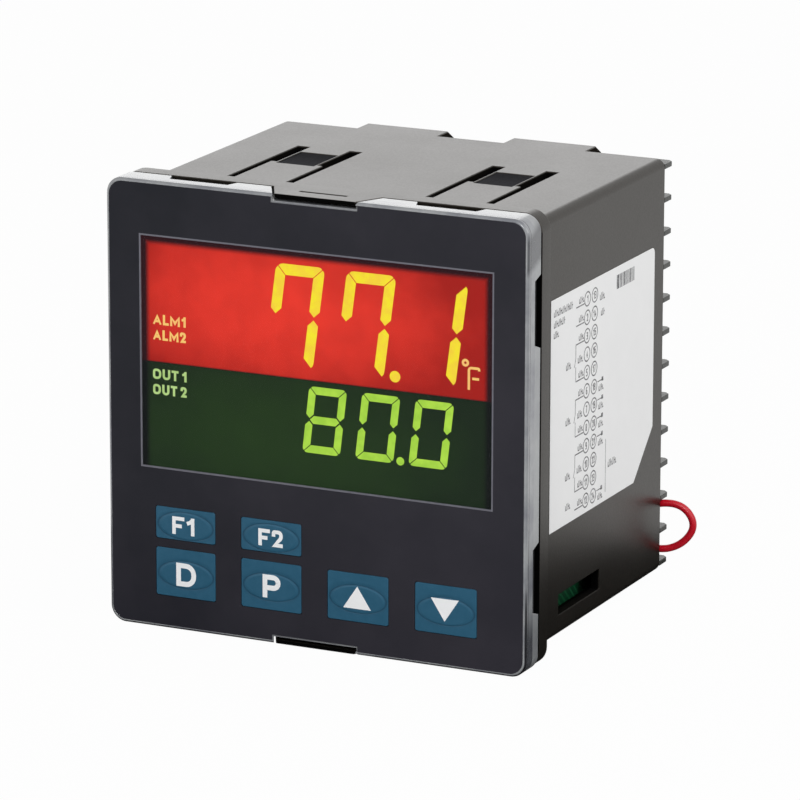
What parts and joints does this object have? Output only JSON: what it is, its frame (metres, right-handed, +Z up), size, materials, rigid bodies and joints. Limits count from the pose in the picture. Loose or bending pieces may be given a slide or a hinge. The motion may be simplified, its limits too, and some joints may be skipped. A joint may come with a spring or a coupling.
{
  "type": "temperature controller",
  "caption": "Square panel-mounted temperature controller with a two-part lit display, soft keys, a notched bezel and barrier screw terminals at the rear of a moulded case.",
  "frame": {"origin": "middle of the plane in which the case collar meets the panel's front", "axes": "+X to the right seen from the front, +Y back into the panel, +Z up"},
  "size_m": [0.1012, 0.0849, 0.096],
  "materials": {
    "case_plastic": "fine moulded texture",
    "rack_plastic": "matte",
    "bezel_plastic": "glossy",
    "film": "satin film",
    "line_print": "printed",
    "lens": "clear, glossy",
    "key_blue": "satin film",
    "seal_rubber": "matte",
    "lit_red": "backlit",
    "lit_green": "backlit",
    "lit_yellow": "backlit",
    "lit_lime": "backlit",
    "lcd_glass": "polished",
    "white_plastic": "moulded",
    "lamp": "moulded",
    "board_green": "solder mask",
    "spring_steel": "stamped",
    "black_plastic": "moulded",
    "chip": "moulded epoxy",
    "core_steel": "laminated",
    "copper": "enamelled wire",
    "bobbin": "moulded",
    "can": "sleeved",
    "heat_sink": "extruded",
    "relay_blue": "moulded",
    "plated": "nickel plated",
    "screw_steel": "zinc plated",
    "label_white": "satin film",
    "wire_red": "extruded insulation",
    "tinned": "tinned"
  },
  "bodies": {
    "housing": {"rear_case": "case_plastic", "clip_racks": "rack_plastic", "front_bezel": "bezel_plastic", "front_film": "film", "window_line": "line_print", "window_lens": "lens", "seal_ring": "seal_rubber", "red_field": "lit_red", "green_field": "lit_green", "upper_digits": "lit_yellow", "lower_digits": "lit_lime", "lcd_glass": "lcd_glass", "backlight_box": "white_plastic", "backlight_lamps": "lamp", "display_board": "board_green", "io_board": "board_green", "power_board": "board_green", "rear_board": "board_green", "key_domes": "spring_steel", "board_connectors": "black_plastic", "processor": "chip", "transformer_core": "core_steel", "transformer_windings": "copper", "transformer_bobbin": "bobbin", "filter_capacitors": "can", "regulator": "chip", "heat_sink": "heat_sink", "output_relays": "relay_blue", "opto_couplers": "white_plastic", "microcontroller": "chip", "small_parts": "chip", "terminal_block_right": "black_plastic", "terminal_block_left": "black_plastic", "barriers_right": "case_plastic", "barriers_left": "case_plastic", "contact_plates": "plated", "wire_clamps": "plated", "terminal_screws": "screw_steel", "rear_cover": "case_plastic", "side_label": "label_white", "jumper_wire": "wire_red", "jumper_ends": "tinned"},
    "key_f1_cap": {"key_f1": "key_blue"},
    "key_f2_cap": {"key_f2": "key_blue"},
    "key_d_cap": {"key_d": "key_blue"},
    "key_p_cap": {"key_p": "key_blue"},
    "key_up_cap": {"key_up": "key_blue"},
    "key_down_cap": {"key_down": "key_blue"}
  },
  "joints": [
    {"name": "key_f1_press", "type": "slide", "parent": "housing", "child": "key_f1_cap", "axis": [0, 1, 0], "range_m": [0, 0.0005], "stiffness_N_per_m": 3000},
    {"name": "key_f2_press", "type": "slide", "parent": "housing", "child": "key_f2_cap", "axis": [0, 1, 0], "range_m": [0, 0.0005], "stiffness_N_per_m": 3000},
    {"name": "key_d_press", "type": "slide", "parent": "housing", "child": "key_d_cap", "axis": [0, 1, 0], "range_m": [0, 0.0005], "stiffness_N_per_m": 3000},
    {"name": "key_p_press", "type": "slide", "parent": "housing", "child": "key_p_cap", "axis": [0, 1, 0], "range_m": [0, 0.0005], "stiffness_N_per_m": 3000},
    {"name": "key_up_press", "type": "slide", "parent": "housing", "child": "key_up_cap", "axis": [0, 1, 0], "range_m": [0, 0.0005], "stiffness_N_per_m": 3000},
    {"name": "key_down_press", "type": "slide", "parent": "housing", "child": "key_down_cap", "axis": [0, 1, 0], "range_m": [0, 0.0005], "stiffness_N_per_m": 3000}
  ]
}
